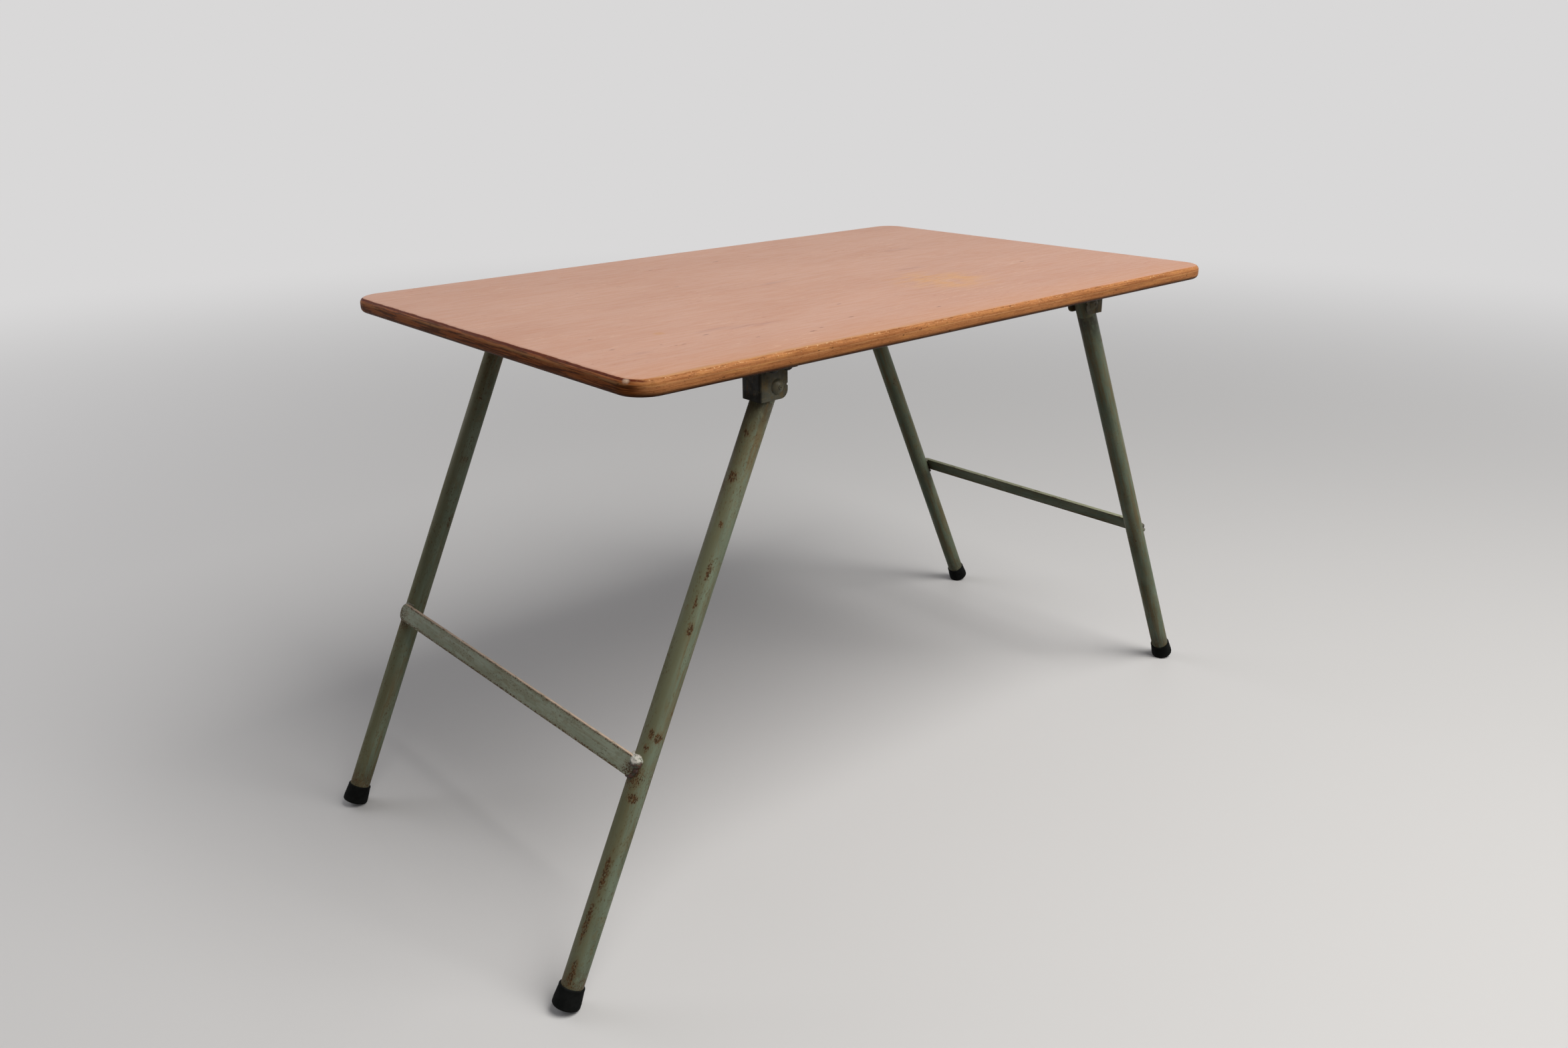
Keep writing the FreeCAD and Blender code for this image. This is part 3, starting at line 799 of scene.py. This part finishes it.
def bead_route(run):
    """Points round the end of a bar: from its upper edge, past the end, to its lower edge."""
    middle = overhang - corner
    turn = [math.radians(a) for a in range(0, 91, 15)]
    route = [(middle - run * (1 - t / 3), half_bar) for t in range(3)]
    route += [(middle + corner * math.sin(a), half_bar - corner + corner * math.cos(a))
              for a in turn]
    route += [(middle + corner * math.cos(a), corner - half_bar - corner * math.sin(a))
              for a in turn]
    route += [(middle - run * t / 3, -half_bar) for t in range(1, 4)]
    return route


# %% One bead as a mesh
def weld_bead(place_name, side, row, run, fat, lumps):
    """A lumpy bead on the end of one bar. Lumps are (mm past the leg, mm up, mm out, radius)."""
    chance = random.Random(place_name)
    out, up, along = off_leg[side], -down_leg[side], Vector((0, rows[row], 0))
    centre = turning_line[side + "_frame"] - up * bar_drop[side] + along * leg_half_spacing[side]
    drops = []
    for y, z in bead_route(run):
        for _ in range(drops_at_each):
            y, z = y + chance.uniform(-0.6, 0.6) * mm, z + chance.uniform(-0.6, 0.6) * mm
            deep = math.sqrt(max(tube_radius ** 2 - y * y, 0)) + chance.uniform(-0.2, 0.9) * mm
            drops.append((deep, y, z, fat * chance.uniform(0.85, 1.25)))
    drops += [(deep * mm, y * mm, z * mm, radius * mm) for y, z, deep, radius in lumps]
    shell = bmesh.new()
    for deep, y, z, radius in drops:
        spot = centre + out * deep + along * y + up * z
        bmesh.ops.create_icosphere(shell, subdivisions=2, radius=radius,
                                   matrix=Matrix.Translation(spot))
    mesh = bpy.data.meshes.new("bead_" + place_name)
    shell.to_mesh(mesh)
    shell.free()
    bead = bpy.data.objects.new("bead_" + place_name, mesh)
    bpy.context.scene.collection.objects.link(bead)
    return bead


# %% Fuse, smooth and roughen
skin_detail = 0.55 * mm
smoothing = 3
ripples = [(3.2, 0.5), (1.1, 0.16)]  # how wide and how high each ripple is, in mm
print("a skin with", skin_detail / mm, "mm of detail and", len(ripples), "kinds of ripple")


def freeze(bead):
    """Fuse the drops into one smooth skin and give it the ripples of cooled metal."""
    fuse = bead.modifiers.new("fuse", "REMESH")
    fuse.mode, fuse.voxel_size = "VOXEL", skin_detail
    soften = bead.modifiers.new("soften", "SMOOTH")
    soften.factor, soften.iterations = 0.5, smoothing
    graph = bpy.context.evaluated_depsgraph_get()
    skin = bpy.data.meshes.new_from_object(bead.evaluated_get(graph))
    bead.modifiers.clear()
    bead.data = skin
    for point in skin.vertices:
        rough = sum(noise.noise(point.co / (wide * mm)) * high for wide, high in ripples)
        point.co += point.normal * rough * mm
    skin.shade_smooth()
    return bead


# %% [markdown]
# The bead's steel was painted with the frame, then rusted harder than the rest. On the heavy bead
# the faces that turn up on the lumps are pale grey, partly rubbed metal and partly a painted
# highlight, and the rust is heavier on faces that turn down, partly as painted shade.


# %% Rusted weld metal
def weld_metal(name, bare_and_highlight, level=0.0):
    """Painted weld bead, pale on lumps that face up above level, partly as painted highlight, and
    dark rust in the hollows, heavier on faces that turn down, partly as painted shade.
    """
    material, tree, shader, place = begin(name, 0.55, specular=0.4)
    position = place.outputs["Object"]
    upward = height_of(tree, place.outputs["Normal"])
    height = height_of(tree, position)
    shade = layer(tree, "#7f8c75", "#5d6a54", marks(tree, position, (6, 6, 6), 0.35, 0.65))
    rust = layer(tree, "#4a2413", "#2b170d", marks(tree, position, (2.5, 2.5, 2.5), 0.4, 0.6))
    # Rust is heavier on faces that turn down: partly painted shade.
    under = both(tree, fade(tree, upward, 0.35, -0.35), 0.3)
    wet = both(tree, marks(tree, position, (7, 7, 7), 0.36, 0.56, 4.0, (3, 1, 2)), under, "ADD")
    shade = layer(tree, shade, rust, both(tree, wet, 1.0, "MINIMUM"), 0.6 + 0.4 * bare_and_highlight)
    # Pale where faces turn up above the level: rubbed metal and a painted highlight.
    rubbed = both(tree, fade(tree, upward, 0.0, 0.6),
                  marks(tree, position, (5, 5, 5), 0.4, 0.52, 3.0, (8, 1, 4)))
    rubbed = both(tree, rubbed, fade(tree, height, level - 1 * mm, level + 2 * mm))
    shade = layer(tree, shade, "#bdb9af", rubbed, bare_and_highlight)
    pits = marks(tree, position, (1.2, 1.2, 1.2), 0.35, 0.7)
    coat(tree, shader, shade, pits, 0.5, 0.2)
    return material


bar_low, bar_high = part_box("cross_bar_left")
heavy_weld = weld_metal("rusted_heavy_weld", 0.95, (bar_low.z + bar_high.z) / 2)
light_weld = weld_metal("painted_weld", 0.2)
print("made", heavy_weld.name, "and", light_weld.name)

# %% Lay the four beads
# Each has its run back along the bar, the radius of its drops, and its extra lumps
beads = {
    "near_left": (3 * mm, 2.6 * mm, [
        (3, 7.0, 14.0, 7.4), (4.5, 6.0, 14.5, 6.6), (1.5, 8.5, 13.5, 5.6),
        (5, -2.5, 13.0, 3.2), (1, -8.5, 13.5, 3.2), (-3, -11.0, 12.5, 2.8)]),
    "far_left": (3 * mm, 1.5 * mm, [(-6, 11.0, 11.5, 2.4), (-3, 11.0, 12.0, 2.2)]),
    "near_right": (3 * mm, 2.4 * mm, [(3, 4.0, 14.0, 4.4), (4, -3.0, 13.5, 3.8)]),
    "far_right": (3 * mm, 1.7 * mm, [(-4, 11.0, 12.0, 2.6)]),
}
for place_name, (run, fat, lumps) in beads.items():
    row, side = place_name.split("_")
    bead = freeze(weld_bead(place_name, side, row, run, fat, lumps))
    bead.data.materials.append(heavy_weld if place_name == "near_left" else light_weld)
    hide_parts("weld_bead_" + place_name)
    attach(bead, side + "_frame")
    print(bead.name, len(bead.data.polygons), "faces")

# %% [markdown]
# ## Studio
#
# The floor is one pale sheet that runs far past the table. Near the table it is a real surface and
# takes the shadow. Far away it fades into the pale sky, so no horizon cuts through the picture.
# Floor and sky look pale, directly and in reflections, but they light the table less than they
# look, so its shaded sides keep their depth. The rest of the light comes from a large soft lamp
# above the front, a weaker one to the right of it and a third behind the table.

# %% Colours of the studio
bpy.context.scene.view_settings.view_transform = "Standard"
backdrop = colour("#d9d8d8")
floor_seen, floor_lighting = "#d6d5d4", "#4a4948"
sky_light, sky_strength = colour("#f2f4f7"), 0.14
print("view transform", bpy.context.scene.view_settings.view_transform)


# %% What is seen, apart from what lights
def seen_rays(tree):
    """1 for rays from the eye and through mirror or glass, 0 for gathered light."""
    rays = add(tree, "LightPath")
    seen = both(tree, rays.outputs["Is Camera Ray"], rays.outputs["Is Glossy Ray"], "MAXIMUM")
    return both(tree, seen, rays.outputs["Is Transmission Ray"], "MAXIMUM")


# %% The floor
def studio_floor(reach=40.0, corners=96):
    """A large pale floor that fades into the sky with distance."""
    mesh = bpy.data.meshes.new("studio_floor")
    sheet = bmesh.new()
    ring = [sheet.verts.new((reach * math.cos(a), reach * math.sin(a), 0))
            for a in (math.tau * i / corners for i in range(corners))]
    sheet.faces.new(ring)
    sheet.to_mesh(mesh)
    sheet.free()
    floor = bpy.data.objects.new("studio_floor", mesh)
    bpy.context.scene.collection.objects.link(floor)
    material, tree, shader, place = begin("pale_studio_floor", 0.6)
    far = add(tree, "VectorMath", {"operation": "LENGTH"}, {0: place.outputs["Object"]})
    seen = seen_rays(tree)
    tree.links.new(layer(tree, floor_lighting, floor_seen, seen), shader.inputs["Base Color"])
    away = both(tree, fade(tree, far.outputs["Value"], 0.8, 5.0), seen)
    glow = add(tree, "Emission", {"Color": backdrop, "Strength": 1.0})
    blend = add(tree, "MixShader", {}, {0: away, 1: shader.outputs[0], 2: glow.outputs[0]})
    output = next(n for n in tree.nodes if n.type == "OUTPUT_MATERIAL")
    tree.links.new(blend.outputs[0], output.inputs["Surface"])
    mesh.materials.append(material)
    return floor


studio_floor()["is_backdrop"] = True


# %% The sky
def studio_sky():
    """A pale sky for the eye and for reflections, and a dimmer even light for the rest."""
    world = bpy.data.worlds.new("studio_sky")
    world.use_nodes = True
    tree = world.node_tree
    tree.nodes.clear()
    shown = add(tree, "Background", {"Color": backdrop, "Strength": 1.0})
    light = add(tree, "Background", {"Color": sky_light, "Strength": sky_strength})
    blend = add(tree, "MixShader", {}, {
        0: seen_rays(tree), 1: light.outputs[0], 2: shown.outputs[0]})
    add(tree, "OutputWorld", {}, {"Surface": blend.outputs[0]})
    bpy.context.scene.world = world


studio_sky()
print("floor and sky are in place")


# %% The lamps
def softbox(name, place, target, size, watts, tint):
    """A square lamp that faces its target."""
    lamp = bpy.data.lights.new(name, "AREA")
    lamp.shape, lamp.size, lamp.energy = "SQUARE", size, watts
    lamp.color = colour(tint)[:3]
    holder = bpy.data.objects.new(name, lamp)
    holder.location = place
    holder.rotation_euler = (Vector(target) - Vector(place)).to_track_quat("-Z", "Y").to_euler()
    bpy.context.scene.collection.objects.link(holder)
    print(name, watts, "W")


softbox("key_softbox", (0.3, -1.8, 3.1), (0, 0, 0.4), 2.0, 103, "#fffdfa")
softbox("fill_softbox", (1.8, -3.4, 2.0), (0, 0, 0.5), 1.6, 26, "#fffcf8")
softbox("rear_softbox", (-1.7, 2.7, 2.0), (0, 0, 0.4), 2.0, 24, "#fbfaff")

# %% [markdown]
# ## Camera
#
# The camera stands where the photograph was taken from. Its place, heading and lens were fitted to
# the corners of the top, the legs, the bars and the feet, with the frame taken as 2346 by 1568.

# %% The camera
picture_width, focal_pixels, sensor = 2346, 1872.8, 36.0
heading, dip, roll = 0.7223, 0.3602, 0.0103
camera_place = Vector((-1.10354, -1.20009, 0.93464))
ahead = Vector((math.sin(heading) * math.cos(dip), math.cos(heading) * math.cos(dip),
                -math.sin(dip)))
level = Vector((math.cos(heading), -math.sin(heading), 0))
below = ahead.cross(level)
right = level * math.cos(roll) + below * math.sin(roll)
upward = level * math.sin(roll) - below * math.cos(roll)
lens = bpy.data.cameras.new("camera")
lens.sensor_width = sensor
lens.lens = focal_pixels / picture_width * sensor
camera = bpy.data.objects.new("camera", lens)
camera.matrix_world = Matrix.Translation(camera_place) @ Matrix(
    (right, upward, -ahead)).transposed().to_4x4()
bpy.context.scene.collection.objects.link(camera)
bpy.context.scene.camera = camera
print("lens", round(lens.lens, 2), "mm")

# %% [markdown]
# ## Sizes, and the end
#
# Finish must not change the table's size. The box of the measured model and the box of the dressed
# one are written side by side, so they can be compared.

# %% Write the two boxes and finish
dressed_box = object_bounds()
for label, box in (("cad", cad_box), ("dressed", dressed_box)):
    print(label, [[round(value, 4) for value in corner] for corner in box])
